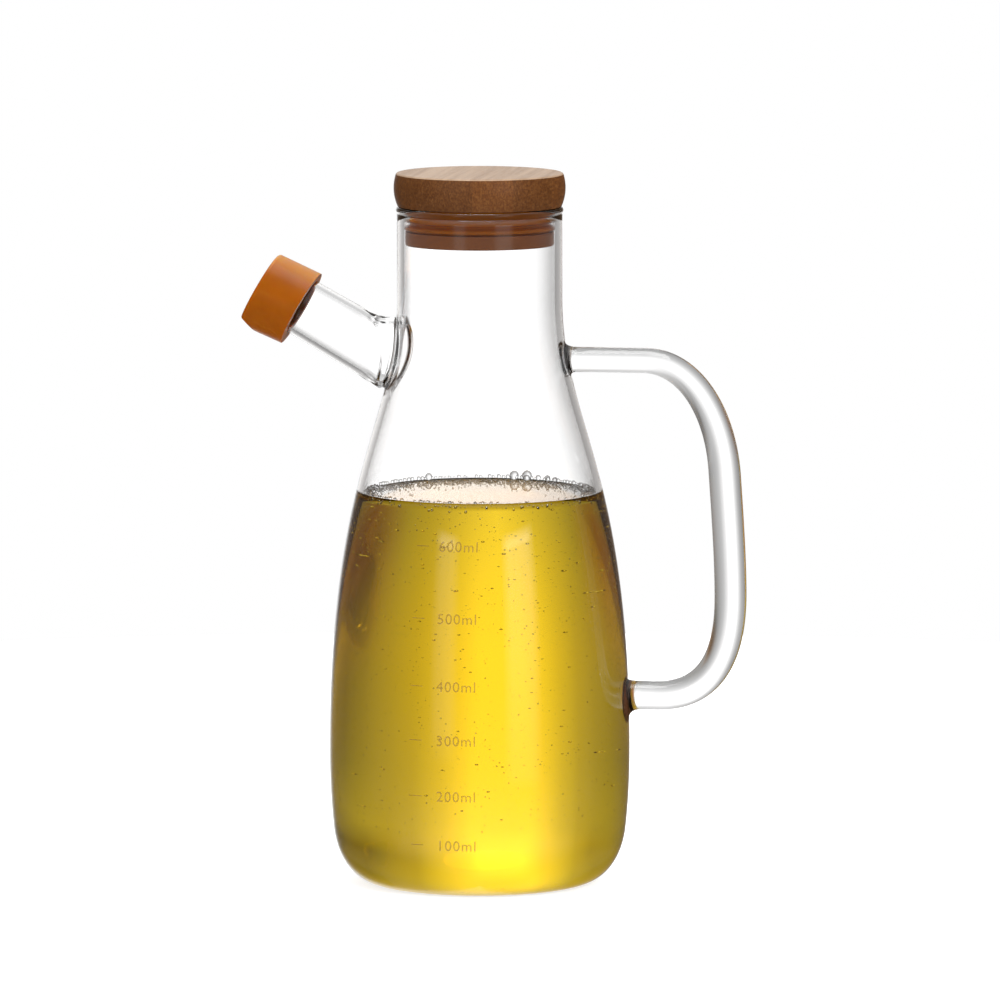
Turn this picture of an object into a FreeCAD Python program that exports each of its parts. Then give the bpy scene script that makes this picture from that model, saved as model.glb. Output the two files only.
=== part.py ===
"""Olive oil bottle: a glass jug with a welded side spout and a welded rod handle.

Frame: millimetres, origin at the centre of the base, +Z up the bottle's axis, +X towards
the handle, -X towards the spout, -Y towards the side that carries the volume scale.

Nodes
  glass_bottle  blown body and neck, side spout and solid rod handle, welded into one piece
  oil           the oil, up to its level, with the meniscus at the wall
  stopper       turned bamboo lid with its grooved plug
  seal_ring     clear silicone ring with lips, in the plug's groove
  spout_cap     silicone cap pushed over the spout's mouth
"""
import FreeCAD
import Part
import math
import os

# ---- blown body -------------------------------------------------------------------------
rim_height = 207.5            # top of the glass rim above the base
neck_outer_radius = 25.2
neck_wall = 2.2
neck_length = 28.1            # straight neck, from the end of the shoulder curve to the rim
belly_radius = 45.9           # widest outside radius
belly_height = 40.0           # where the body is widest
body_wall = 2.0
shoulder_low_pull = 0.636     # shape of the shoulder curve: tangent lengths at its two ends,
shoulder_high_pull = 0.273    # as shares of the shoulder's own rise
heel_inset = 1.2              # how far the wall draws in from the belly down to the heel
heel_height = 17.0            # top of the rounded heel
heel_width = 14.1             # the heel's rounding, measured along a radius
base_thickness = 2.8
push_up_height = 1.5          # hollow under the base, at the axis
push_up_radius = 24.0
bead_proud = 0.3              # how far the fire-polished rim stands outside the neck

# ---- spout ------------------------------------------------------------------------------
spout_rise_deg = 29.5         # the spout's axis above the horizontal
spout_collar_length = 5.9     # from the neck out to the weld
spout_drop = 45.1             # from the rim down to the weld's centre
spout_saddle_radius = 18.5    # the weld bends round the neck like a saddle of this radius
spout_root_radius = 9.4       # outside, at the weld
spout_tip_radius = 8.75       # outside, at the mouth
spout_wall = 1.7
spout_length = 38.5           # from the weld to the mouth, along the spout's axis
spout_collar_fillet = 1.5     # where the drawn-out collar leaves the neck

# ---- handle, a solid rod in the XZ plane ---------------------------------------------------
handle_drop = 46.5            # from the rim down to the rod's top run
handle_top_run = 25.5         # from the neck out to the upper bend
handle_bend_drop = 34.0       # from the top run down to the end of the upper bend
handle_room = 31.4            # from the belly out to the rod's centre
handle_lean = 1.9             # how far the rod's grip leans in at its upper end
handle_foot_height = 58.4     # where the rod meets the body
handle_foot_rise = 30.9       # from the foot up to where the rod stands out furthest
handle_foot_turn = 22.9       # the lower bend's reach back towards the body
handle_top_radius = 3.85
handle_grip_radius = 4.9
handle_foot_radius = 4.4
handle_top_weld_radius = 5.0  # the melted foot on the neck
handle_top_weld_length = 3.0
handle_foot_weld_radius = 6.4 # the drawn-out foot on the body, which sags below the rod
handle_foot_weld_length = 4.2
handle_foot_weld_sag = 1.8

# ---- oil --------------------------------------------------------------------------------
oil_level = 119.8
oil_gap = 0.1                 # between the oil and the glass
meniscus_rise = 0.9
meniscus_width = 1.8

# ---- stopper and its seal -----------------------------------------------------------------
lid_thickness = 10.1
lid_edge_inset = 0.2          # from the neck's outside in to the lid's lower edge
lid_waist_bulge = 1.1         # from the lower edge out to where the side is widest
lid_waist_share = 0.42        # where that is, as a share of the lid's thickness
lid_crown_bulge = 0.4         # from the lower edge out to the lid's upper edge
lid_edge_round = 0.8
plug_depth = 11.7             # from the lid's underside to the plug's lower face
plug_flange_height = 4.2
plug_gap = 0.4                # between the plug's flange and the neck's bore
plug_edge_round = 0.6
groove_depth = 3.1            # from the flange's edge in to the groove's floor
seal_gap = 0.05               # round the seal ring, to its groove and to the bore
seal_lip_count = 3
seal_lip_depth = 1.5
seal_lip_round = 0.45

# ---- spout cap ----------------------------------------------------------------------------
cap_length = 14.2
cap_mouth_radius = 12.2
cap_mouth_drop = 0.6          # how far the cap's outside hangs below its bore at the mouth
cap_crown_height = 24.8       # the crown's extent across the slanted underside
cap_crown_width = 22.0
cap_crown_drop = 2.0
cap_crown_thickness = 3.0     # solid end beyond the spout's mouth
cap_edge_round = 1.0
cap_gap = 0.1                 # between the cap's bore and the spout
cap_bevel_length = 6.9        # the flat under the crown, along the cap's axis
cap_bevel_depth = 3.2

# ---- sizes that follow ----------------------------------------------------------------------
neck_bore_radius = neck_outer_radius - neck_wall
shoulder_top = rim_height - neck_length
heel_radius = belly_radius - heel_inset
bead_radius = (neck_wall + bead_proud) / 2
spout_rise = math.radians(spout_rise_deg)
spout_seam_reach = neck_outer_radius + spout_collar_length
spout_seam_height = rim_height - spout_drop
handle_top_height = rim_height - handle_drop
handle_bend_reach = neck_outer_radius + handle_top_run
handle_belly_reach = belly_radius + handle_room
handle_belly_height = handle_foot_height + handle_foot_rise
handle_grip_reach = handle_belly_reach - handle_lean
handle_grip_top = handle_top_height - handle_bend_drop
handle_foot_bend_reach = handle_belly_reach - handle_foot_turn
lid_edge_radius = neck_outer_radius - lid_edge_inset
lid_waist_radius = lid_edge_radius + lid_waist_bulge
lid_crown_radius = lid_edge_radius + lid_crown_bulge
plug_flange_radius = neck_bore_radius - plug_gap
groove_radius = plug_flange_radius - groove_depth
plug_foot_height = rim_height - plug_depth
groove_foot_height = plug_foot_height + plug_flange_height

ROD_STATIONS = 6              # sections of the rod worked out along each of its spans
WELD_STATIONS = 7
ROUND = 0.5523                # tangent share that makes a cubic curve a quarter round
AXIS = FreeCAD.Vector(0, 0, 1)
ORIGIN = FreeCAD.Vector(0, 0, 0)
OUTLET = FreeCAD.Vector(-math.cos(spout_rise), 0, math.sin(spout_rise))
SEAM = FreeCAD.Vector(-spout_seam_reach, 0, spout_seam_height)


def at(radius, height):
    """A point of the XZ half plane that the round parts are turned from."""
    return FreeCAD.Vector(radius, 0, height)


def line(start, end):
    return Part.LineSegment(start, end).toShape()


def arc(start, middle, end):
    return Part.Arc(start, middle, end).toShape()


def curve(*poles):
    """A smooth curve from the first pole to the last, tangent to the outer legs."""
    bezier = Part.BezierCurve()
    bezier.setPoles(list(poles))
    return bezier.toShape()


def turned(edges):
    """The solid of a closed outline in the XZ half plane turned about the axis."""
    face = Part.Face(Part.Wire(edges))
    return face.revolve(ORIGIN, AXIS, 360)


def placed_along(shape, start, direction):
    """Move a shape made on the Z axis so that Z runs along a direction from a point."""
    moved = shape.copy()
    turn = FreeCAD.Rotation(FreeCAD.Vector(0, 0, 1), direction)
    moved.Placement = FreeCAD.Placement(start, turn).multiply(moved.Placement)
    return moved


# ---- body ---------------------------------------------------------------------------------
def wall_outline(side_inset, neck_inset, floor_inset):
    """Edges of the body's outline from the axis up to the neck, set in from the outside.

    The insets are zero for the outer skin, and the walls for the inner one.
    """
    dome = at(0, push_up_height + floor_inset)
    ring = at(push_up_radius, floor_inset)
    flat_end = at(heel_radius - heel_width - side_inset / 2, floor_inset)
    heel = at(heel_radius - side_inset, heel_height)
    belly = at(belly_radius - side_inset, belly_height)
    neck = at(neck_outer_radius - neck_inset, shoulder_top)
    lean = 2 * heel_inset / (belly_height - heel_height)
    heel_pull = ROUND * (heel_height - floor_inset)
    side_pull = (belly_height - heel_height) / 3
    rise = shoulder_top - belly_height
    sag = at(push_up_radius / 2, push_up_height * 0.75 + floor_inset)
    edges = [
        arc(dome, sag, ring),
        line(ring, flat_end),
        curve(flat_end,
              at(flat_end.x + ROUND * (heel.x - flat_end.x), floor_inset),
              at(heel.x - heel_pull * lean, heel_height - heel_pull),
              heel),
        curve(heel,
              at(heel.x + side_pull * lean, heel_height + side_pull),
              at(belly.x, belly_height - side_pull),
              belly),
        curve(belly,
              at(belly.x, belly_height + shoulder_low_pull * rise),
              at(neck.x, shoulder_top - shoulder_high_pull * rise),
              neck),
    ]
    return edges, dome, neck


def body_outer():
    """The body as if it were solid, up to the fire-polished rim."""
    edges, dome, neck = wall_outline(0, 0, 0)
    bead_centre = at(neck_bore_radius + bead_radius, rim_height - bead_radius)
    drop = math.sqrt(bead_radius ** 2 - (neck_outer_radius - bead_centre.x) ** 2)
    bead_foot = at(neck_outer_radius, bead_centre.z - drop)
    rim_top = at(bead_centre.x, rim_height)
    bead_out = at(bead_centre.x + bead_radius, bead_centre.z)
    edges.append(line(neck, bead_foot))
    edges.append(arc(bead_foot, bead_out, rim_top))
    edges.append(line(rim_top, at(0, rim_height)))
    edges.append(line(at(0, rim_height), dome))
    return turned(edges)


def body_cavity():
    """The room inside the body, open at the rim, with the rim's inner rounding."""
    edges, dome, neck = wall_outline(body_wall, neck_wall, base_thickness)
    bead_centre = at(neck_bore_radius + bead_radius, rim_height - bead_radius)
    bore_end = at(neck_bore_radius, bead_centre.z)
    rim_top = at(bead_centre.x, rim_height)
    turn = math.sqrt(0.5) * bead_radius
    bead_in = at(bead_centre.x - turn, bead_centre.z + turn)
    above = rim_height + 5
    edges.append(line(neck, bore_end))
    edges.append(arc(bore_end, bead_in, rim_top))
    edges.append(line(rim_top, at(rim_top.x, above)))
    edges.append(line(at(rim_top.x, above), at(0, above)))
    edges.append(line(at(0, above), dome))
    return turned(edges)


# ---- spout --------------------------------------------------------------------------------
def spout_radius(along):
    """Outside radius of the spout at a distance from the weld."""
    return spout_root_radius + (spout_tip_radius - spout_root_radius) * along / spout_length


def slanted_tube(inset, length, inward):
    """The spout's cone out to a length, and its level collar reaching back into the neck.

    The cone ends at the weld on an upright saddle, and the collar carries that end inward.
    """
    back = spout_saddle_radius * 0.8
    start = SEAM - OUTLET * back
    cone = Part.makeCone(spout_radius(-back) - inset, spout_radius(length) - inset, back + length)
    cone = placed_along(cone, start, OUTLET)
    tall = 4 * spout_root_radius
    saddle = Part.makeCylinder(spout_saddle_radius, tall)
    saddle.translate(FreeCAD.Vector(spout_saddle_radius - spout_seam_reach, 0,
                                    spout_seam_height - tall / 2))
    tube = cone.cut(saddle)
    end = min(tube.Faces, key=lambda face: (face.CenterOfMass - SEAM).Length)
    collar = end.extrude(FreeCAD.Vector(inward, 0, 0))
    return tube, collar


def spout_outer():
    tube, collar = slanted_tube(0, spout_length, spout_seam_reach - neck_bore_radius + 2)
    return tube.fuse(collar)


def spout_bore():
    through = spout_seam_reach - neck_bore_radius + 4
    tube, collar = slanted_tube(spout_wall, spout_length + 1, through)
    return tube.fuse(collar)


# ---- handle -------------------------------------------------------------------------------
def rod_section(centre, direction, radius):
    """A circle across the rod, its seam kept on the same side all the way."""
    side = FreeCAD.Vector(0, 1, 0)
    turn = FreeCAD.Rotation(side, side.cross(direction) * -1, direction, "ZXY")
    circle = Part.Wire(Part.makeCircle(radius))
    circle.Placement = FreeCAD.Placement(centre, turn)
    return circle


def handle_rod():
    """The rod: two level runs, a leaning grip and the bends that join them."""
    top = at(neck_outer_radius - neck_wall / 2, handle_top_height)
    bend = at(handle_bend_reach, handle_top_height)
    grip_top = at(handle_grip_reach, handle_grip_top)
    grip_out = at(handle_belly_reach, handle_belly_height)
    foot_bend = at(handle_foot_bend_reach, handle_foot_height)
    foot = at(outline_radius(handle_foot_height) - body_wall / 2, handle_foot_height)
    slant = 1.4 * handle_lean / (handle_grip_top - handle_belly_height)
    lean = at(slant, -1).normalize()
    outward = at(1, 0)
    down = at(0, -1)
    upper = (grip_top - bend).Length
    grip = (grip_out - grip_top).Length
    lower = (foot_bend - grip_out).Length
    spans = [
        (line(top, bend), handle_top_radius, handle_top_radius),
        (curve(bend, bend + outward * upper * 0.325, grip_top - lean * upper * 0.455, grip_top),
         handle_top_radius, handle_grip_radius),
        (curve(grip_top, grip_top + lean * grip * 0.3, grip_out - down * grip * 0.3, grip_out),
         handle_grip_radius, handle_grip_radius),
        (curve(grip_out, grip_out + down * lower * 0.475, foot_bend + outward * lower * 0.44,
               foot_bend), handle_grip_radius, handle_foot_radius),
        (line(foot_bend, foot), handle_foot_radius, handle_foot_radius),
    ]
    sections = []
    for edge, first_radius, last_radius in spans:
        first, last = edge.ParameterRange
        for number in range(ROD_STATIONS):
            share = number / ROD_STATIONS
            place = first + (last - first) * share
            radius = first_radius + (last_radius - first_radius) * share
            sections.append(rod_section(edge.valueAt(place), edge.tangentAt(place), radius))
    sections.append(rod_section(foot, outward * -1, handle_foot_radius))
    return Part.makeLoft(sections, True, False)


def handle_weld(start, rod_radius, foot_radius, length, sag, buried):
    """The foot drawn out of the glass: a skirt that spreads from the rod, lower at the wall."""
    sections = []
    for number in range(WELD_STATIONS):
        share = number / (WELD_STATIONS - 1)
        spread = (1 - share) ** 2
        centre = start + at(length * share, -sag * spread)
        radius = rod_radius + 0.02 + (foot_radius - rod_radius) * spread
        sections.append(rod_section(centre, at(1, 0), radius))
    skirt = Part.makeLoft(sections, True, False)
    plug = Part.makeCylinder(foot_radius, buried, start + at(-buried, -sag), at(1, 0))
    return skirt.fuse(plug)


# ---- fused glass ----------------------------------------------------------------------------
def collar_root(solid, skin):
    """Edges where the spout's collar leaves the neck, on the body's outer skin."""
    chosen = []
    for edge in solid.Edges:
        middle = Part.Vertex(edge.valueAt((edge.FirstParameter + edge.LastParameter) / 2))
        beside_spout = middle.Point.x < -neck_bore_radius and edge.BoundBox.ZLength > spout_root_radius
        on_skin = skin.distToShape(middle)[0] < 1e-3
        old = any(abs(edge.Length - other.Length) < 1e-6 for other in skin.Edges)
        if beside_spout and on_skin and not old:
            chosen.append(edge)
    return chosen


def glass_bottle():
    skin = body_outer()
    solid = skin.fuse(spout_outer())
    solid = solid.makeFillet(spout_collar_fillet, collar_root(solid, skin.Shells[0]))
    neck_side = at(outline_radius(handle_top_height), handle_top_height)
    body_side = at(outline_radius(handle_foot_height), handle_foot_height)
    top_weld = handle_weld(neck_side, handle_top_radius, handle_top_weld_radius,
                           handle_top_weld_length, 0, neck_wall / 2)
    foot_weld = handle_weld(body_side, handle_foot_radius, handle_foot_weld_radius,
                            handle_foot_weld_length, handle_foot_weld_sag, body_wall / 2)
    solid = solid.fuse(handle_rod()).fuse(top_weld).fuse(foot_weld)
    solid = solid.cut(body_cavity()).cut(spout_bore())
    return solid.removeSplitter()


def outline_radius(height):
    """Outside radius of the body at a height on the shoulder curve."""
    edges, _, _ = wall_outline(0, 0, 0)
    level = line(at(0, height), at(2 * belly_radius, height))
    hits = []
    for edge in edges:
        distance, pairs, _ = edge.distToShape(level)
        if distance < 1e-6:
            hits.extend(pair[0].x for pair in pairs)
    return max(hits)


# ---- oil ------------------------------------------------------------------------------------
def oil():
    """The oil as the cavity less a hair's gap, cut at its level, with a raised meniscus."""
    edges, dome, neck = wall_outline(body_wall + oil_gap, neck_wall + oil_gap,
                                     base_thickness + oil_gap)
    edges.append(line(neck, at(0, neck.z)))
    edges.append(line(at(0, neck.z), dome))
    full = turned(edges)
    level_wall = outline_radius(oil_level) - body_wall
    cup_edge = at(level_wall + 2, oil_level + meniscus_rise)
    start = at(level_wall - meniscus_width, oil_level)
    lip = at(level_wall, oil_level + meniscus_rise)
    top = shoulder_top + 1
    air = turned([
        line(at(0, oil_level), start),
        curve(start, at(start.x + meniscus_width * 0.6, oil_level), lip),
        line(lip, cup_edge),
        line(cup_edge, at(cup_edge.x, top)),
        line(at(cup_edge.x, top), at(0, top)),
        line(at(0, top), at(0, oil_level)),
    ])
    return full.cut(air)


# ---- stopper --------------------------------------------------------------------------------
def stopper():
    """Lid and plug turned from one piece of bamboo."""
    lid_top = rim_height + lid_thickness
    waist_height = rim_height + lid_thickness * lid_waist_share
    edge = at(lid_edge_radius, rim_height)
    crown = at(lid_crown_radius, lid_top)
    outline = [
        line(at(0, plug_foot_height), at(plug_flange_radius, plug_foot_height)),
        line(at(plug_flange_radius, plug_foot_height), at(plug_flange_radius, groove_foot_height)),
        line(at(plug_flange_radius, groove_foot_height), at(groove_radius, groove_foot_height)),
        line(at(groove_radius, groove_foot_height), at(groove_radius, rim_height)),
        line(at(groove_radius, rim_height), edge),
        arc(edge, at(lid_waist_radius, waist_height), crown),
        line(crown, at(0, lid_top)),
        line(at(0, lid_top), at(0, plug_foot_height)),
    ]
    solid = turned(outline)
    solid = rounded(solid, lid_edge_round, (lid_top,))
    return rounded(solid, plug_edge_round, (plug_foot_height,))


def rounded(solid, radius, heights):
    """Round the circular edges that lie at the given heights."""
    chosen = []
    for edge in solid.Edges:
        box = edge.BoundBox
        flat = box.ZLength < 1e-6 and box.XLength > 1
        if flat and min(abs(box.ZMin - height) for height in heights) < 1e-6:
            chosen.append(edge)
    return solid.makeFillet(radius, chosen)


def seal_ring():
    """A band in the plug's groove, with lips that reach out to the neck's bore."""
    inner = groove_radius + seal_gap
    reach = neck_bore_radius - seal_gap
    root = reach - seal_lip_depth
    low = groove_foot_height + seal_gap
    high = rim_height - seal_gap
    pitch = (high - low) / seal_lip_count
    ring = turned([
        line(at(inner, low), at(root, low)),
        line(at(root, low), at(root, high)),
        line(at(root, high), at(inner, high)),
        line(at(inner, high), at(inner, low)),
    ])
    for number in range(seal_lip_count):
        foot = low + pitch * number
        tip_low = foot + pitch * 0.25
        tip_high = foot + pitch * 0.60
        buried = root - 0.3
        lip = turned([
            line(at(buried, foot + pitch * 0.08), at(reach, tip_low)),
            line(at(reach, tip_low), at(reach, tip_high)),
            line(at(reach, tip_high), at(buried, foot + pitch * 0.92)),
            line(at(buried, foot + pitch * 0.92), at(buried, foot + pitch * 0.08)),
        ])
        lip = rounded(lip, seal_lip_round, (tip_low, tip_high))
        ring = ring.fuse(lip)
    return ring.removeSplitter()


# ---- spout cap --------------------------------------------------------------------------------
def cap_outside():
    """A round mouth that runs into an oval crown, deeper and bevelled on its lower side."""
    mouth = Part.Wire(Part.makeCircle(cap_mouth_radius, at(-cap_mouth_drop, 0)))
    oval = Part.Ellipse(at(-cap_crown_drop, cap_length), cap_crown_height / 2, cap_crown_width / 2)
    crown = Part.Wire(oval.toShape())
    body = Part.makeLoft([mouth, crown], True, False)
    low_edge = -cap_crown_drop - cap_crown_height / 2
    on_crown = at(low_edge + cap_bevel_depth, cap_length)
    on_side = at(low_edge, cap_length - cap_bevel_length)
    beyond = (on_crown - on_side) * 2
    outside = at(low_edge - cap_crown_height, cap_length)
    outline = [on_side - beyond, on_crown + beyond, outside + at(0, beyond.z), outside - beyond]
    wedge = Part.Face(Part.makePolygon(outline + outline[:1]))
    wedge = wedge.extrude(FreeCAD.Vector(0, 2 * cap_crown_width, 0))
    wedge.translate(FreeCAD.Vector(0, -cap_crown_width, 0))
    return body.cut(wedge)


def spout_cap():
    """A soft cup over the spout's mouth, with a slanted flat under its crown."""
    depth = cap_length - cap_crown_thickness
    mouth_along = spout_length - depth
    outside = cap_outside()
    crown_edges = [edge for edge in outside.Edges if edge.BoundBox.ZMax > cap_length - 0.01]
    outside = outside.makeFillet(cap_edge_round, crown_edges)
    bore = Part.makeCone(spout_radius(mouth_along) + cap_gap,
                         spout_radius(spout_length) + cap_gap, depth)
    cap = outside.cut(bore)
    return placed_along(cap, SEAM + OUTLET * mouth_along, OUTLET)


def main():
    os.makedirs("parts", exist_ok=True)
    nodes = {
        "glass_bottle": glass_bottle(),
        "oil": oil(),
        "stopper": stopper(),
        "seal_ring": seal_ring(),
        "spout_cap": spout_cap(),
    }
    for name, shape in nodes.items():
        solid = shape.Solids[0] if len(shape.Solids) == 1 else shape
        solid.exportStep(os.path.join("parts", name + ".step"))
        print(name, "solids", len(shape.Solids), "valid", shape.isValid(),
              "volume", round(shape.Volume, 1), "faces", len(shape.Faces))


main()
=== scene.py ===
"""Looks of the olive oil bottle: welded glass jug, oil, bamboo stopper and silicone cap.

Sizes are in millimetres and repeat the driving sizes of the CAD model, but for a finer
fillet at the spout and a lower meniscus. Points are scaled to metres when a mesh is made.
The frame is the CAD frame: origin at the centre of the base, +Z up the axis, +X towards
the handle, -X towards the spout, -Y towards the scale.
"""
import math
import bmesh
import bpy
import numpy as np
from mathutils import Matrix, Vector


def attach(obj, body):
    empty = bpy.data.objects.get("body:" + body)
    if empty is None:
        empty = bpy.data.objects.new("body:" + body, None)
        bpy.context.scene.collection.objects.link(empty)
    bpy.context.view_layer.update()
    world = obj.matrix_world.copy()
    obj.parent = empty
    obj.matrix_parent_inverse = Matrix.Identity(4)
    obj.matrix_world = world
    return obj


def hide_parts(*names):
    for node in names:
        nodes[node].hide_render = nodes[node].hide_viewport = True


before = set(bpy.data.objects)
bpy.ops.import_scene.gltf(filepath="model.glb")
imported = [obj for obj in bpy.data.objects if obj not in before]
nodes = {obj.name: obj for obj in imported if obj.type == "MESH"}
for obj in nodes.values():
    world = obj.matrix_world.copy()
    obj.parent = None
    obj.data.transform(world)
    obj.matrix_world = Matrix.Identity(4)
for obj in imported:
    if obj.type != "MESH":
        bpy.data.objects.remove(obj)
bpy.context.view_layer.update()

MM = 0.001
TAU = 2 * math.pi

# ---- sizes of the body, as in the CAD model ------------------------------------------------
RIM_HEIGHT = 207.5
NECK_RADIUS = 25.2
NECK_WALL = 2.2
SHOULDER_TOP = RIM_HEIGHT - 28.1
BELLY_RADIUS = 45.9
BELLY_HEIGHT = 40.0
BODY_WALL = 2.0
LOW_PULL = 0.636
HIGH_PULL = 0.273
HEEL_INSET = 1.2
HEEL_HEIGHT = 17.0
HEEL_WIDTH = 14.1
BASE_THICKNESS = 2.8
PUSH_UP_HEIGHT = 1.5
PUSH_UP_RADIUS = 24.0
BEAD_PROUD = 0.3
ROUND = 0.5523                # tangent share that makes a cubic curve a quarter round

# ---- spout ---------------------------------------------------------------------------------
SPOUT_RISE = math.radians(29.5)
SEAM = np.array([-(NECK_RADIUS + 5.9), 0, RIM_HEIGHT - 45.1])
SADDLE_RADIUS = 18.5
SPOUT_ROOT_RADIUS = 9.4
SPOUT_TIP_RADIUS = 8.75
SPOUT_WALL = 1.7
SPOUT_LENGTH = 38.5
COLLAR_SPREAD = 0.9           # fillets where the collar meets the neck, outside and inside
BORE_SPREAD = 0.6
WELD_BEAD = 0.24              # height and half width of the bead along the seam
WELD_BEAD_WIDTH = 0.7
NEAR_SEAM = 4.55              # rows of points are close together up to here from the seam
BORE_DETAIL = 0.35            # how much of the bead and puckers shows inside
OUTLET = np.array([-math.cos(SPOUT_RISE), 0, math.sin(SPOUT_RISE)])
ACROSS = np.array([0, 1, 0])
UPWARD = np.array([math.sin(SPOUT_RISE), 0, math.cos(SPOUT_RISE)])

# ---- handle --------------------------------------------------------------------------------
HANDLE_TOP = RIM_HEIGHT - 46.5
HANDLE_BEND = NECK_RADIUS + 25.5
HANDLE_OUT = BELLY_RADIUS + 31.4
HANDLE_LEAN = 1.9
HANDLE_GRIP_TOP = HANDLE_TOP - 34.0
HANDLE_FOOT = 58.4
HANDLE_OUT_HEIGHT = HANDLE_FOOT + 30.9
HANDLE_FOOT_BEND = HANDLE_OUT - 22.9
ROD_TOP_RADIUS = 3.85
ROD_GRIP_RADIUS = 4.9
ROD_FOOT_RADIUS = 4.4
TOP_WELD_RADIUS = 5.0
TOP_WELD_LENGTH = 3.0
FOOT_WELD_RADIUS = 6.4
FOOT_WELD_LENGTH = 4.2
FOOT_WELD_SAG = 1.8
WELD_ROWS = 9

# ---- oil -----------------------------------------------------------------------------------
OIL_LEVEL = 119.8
MENISCUS_RISE = 0.45          # half the CAD's, which shows as a dark band at the back
MENISCUS_WIDTH = 1.1
OIL_INTO_WALL = 0.3           # how far the oil reaches into the glass, so that no air shows


# ---- mesh helpers --------------------------------------------------------------------------
def cubic(poles, count):
    """Points along a cubic curve."""
    t = np.linspace(0, 1, count)[:, None]
    a, b, c, d = (np.asarray(pole, float) for pole in poles)
    return (1 - t) ** 3 * a + 3 * t * (1 - t) ** 2 * b + 3 * t ** 2 * (1 - t) * c + t ** 3 * d


def straight(start, end, count):
    return np.linspace(np.asarray(start, float), np.asarray(end, float), count)


def resample(points, heights):
    """The radius of an outline at each height, where the outline only climbs."""
    return np.interp(heights, points[:, 1], points[:, 0])


class Skin:
    """Points and faces of one mesh, put together ring by ring."""

    def __init__(self):
        self.points = []
        self.faces = []

    def add(self, points):
        """Adds points and returns their numbers."""
        first = len(self.points)
        self.points.extend(np.asarray(points, float).tolist())
        return list(range(first, len(self.points)))

    def bridge(self, ring, other):
        """Quads between two closed rings with as many points."""
        count = len(ring)
        for k in range(count):
            after = (k + 1) % count
            self.faces.append((ring[k], ring[after], other[after], other[k]))

    def rings(self, start, rows):
        """Bridges from a ring of numbers through rows of new points; returns the last ring."""
        for row in rows:
            ring = self.add(row)
            self.bridge(start, ring)
            start = ring
        return start


def turn(skin, outline, columns, gaps=()):
    """Turns an outline about the axis and returns the grid of point numbers.

    The outline's first and last points may lie on the axis. A gap is (first column, columns,
    first row, rows), and its cells stay open.
    """
    angles = np.arange(columns) * TAU / columns
    inside = np.zeros((len(outline), columns), bool)
    for column, wide, row, tall in gaps:
        for r in range(row + 1, row + tall):
            for c in range(column + 1, column + wide):
                inside[r, c % columns] = True
    grid = []
    for r, (radius, height) in enumerate(outline):
        if radius < 1e-9:
            grid.append(skin.add([(0, 0, height)]) * columns)
            continue
        ring = [None] * columns
        kept = [c for c in range(columns) if not inside[r, c]]
        numbers = skin.add([(radius * math.cos(angles[c]), radius * math.sin(angles[c]), height)
                            for c in kept])
        for c, number in zip(kept, numbers):
            ring[c] = number
        grid.append(ring)
    open_cells = {(r, c % columns) for column, wide, row, tall in gaps
                  for r in range(row, row + tall) for c in range(column, column + wide)}
    for r in range(len(outline) - 1):
        for c in range(columns):
            if (r, c) in open_cells:
                continue
            after = (c + 1) % columns
            cell = [grid[r][c], grid[r][after], grid[r + 1][after], grid[r + 1][c]]
            face = [number for k, number in enumerate(cell) if number != cell[k - 1]]
            skin.faces.append(tuple(face))
    return grid


def border(skin, grid, gap, centre_height):
    """The points round a gap, anticlockwise in the YZ plane from the +Y side."""
    column, wide, row, tall = gap
    columns = len(grid[0])
    numbers = {grid[r][c % columns] for r in (row, row + tall)
               for c in range(column, column + wide + 1)}
    numbers |= {grid[r][c % columns] for c in (column, column + wide)
                for r in range(row, row + tall + 1)}
    place = np.array([skin.points[n] for n in sorted(numbers)])
    angle = np.mod(np.arctan2(place[:, 2] - centre_height, place[:, 1]) + 1e-6, TAU)
    return [sorted(numbers)[k] for k in np.argsort(angle)]


def patch(skin, ring, loop, steps, radius_at, side):
    """Rings on the turned surface from a gap's border in to a loop of (y, z) points."""
    edge = np.array([skin.points[n] for n in ring])[:, 1:]
    for step in range(1, steps + 1):
        share = 1 - (1 - step / steps) ** 1.3
        flat = edge + (loop - edge) * share
        x = side * np.sqrt(radius_at(flat[:, 1]) ** 2 - flat[:, 0] ** 2)
        row = skin.add(np.column_stack([x, flat]))
        skin.bridge(ring, row)
        ring = row
    return ring


def ride_along(name, mesh, node=None):
    """A piece that rides on the bottle; node is the CAD node it stands for."""
    piece = bpy.data.objects.new(name, mesh)
    bpy.context.scene.collection.objects.link(piece)
    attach(piece, "root")
    if node:
        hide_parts(node)
    return piece


def make_piece(name, points, faces, node):
    """A smooth piece made of points in millimetres, with its faces turned outwards."""
    mesh = bpy.data.meshes.new(name)
    mesh.from_pydata((np.asarray(points) * MM).tolist(), [], faces)
    mesh.validate()
    work = bmesh.new()
    work.from_mesh(mesh)
    bmesh.ops.recalc_face_normals(work, faces=work.faces)
    work.to_mesh(mesh)
    work.free()
    mesh.shade_smooth()
    return ride_along(name, mesh, node)


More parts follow.
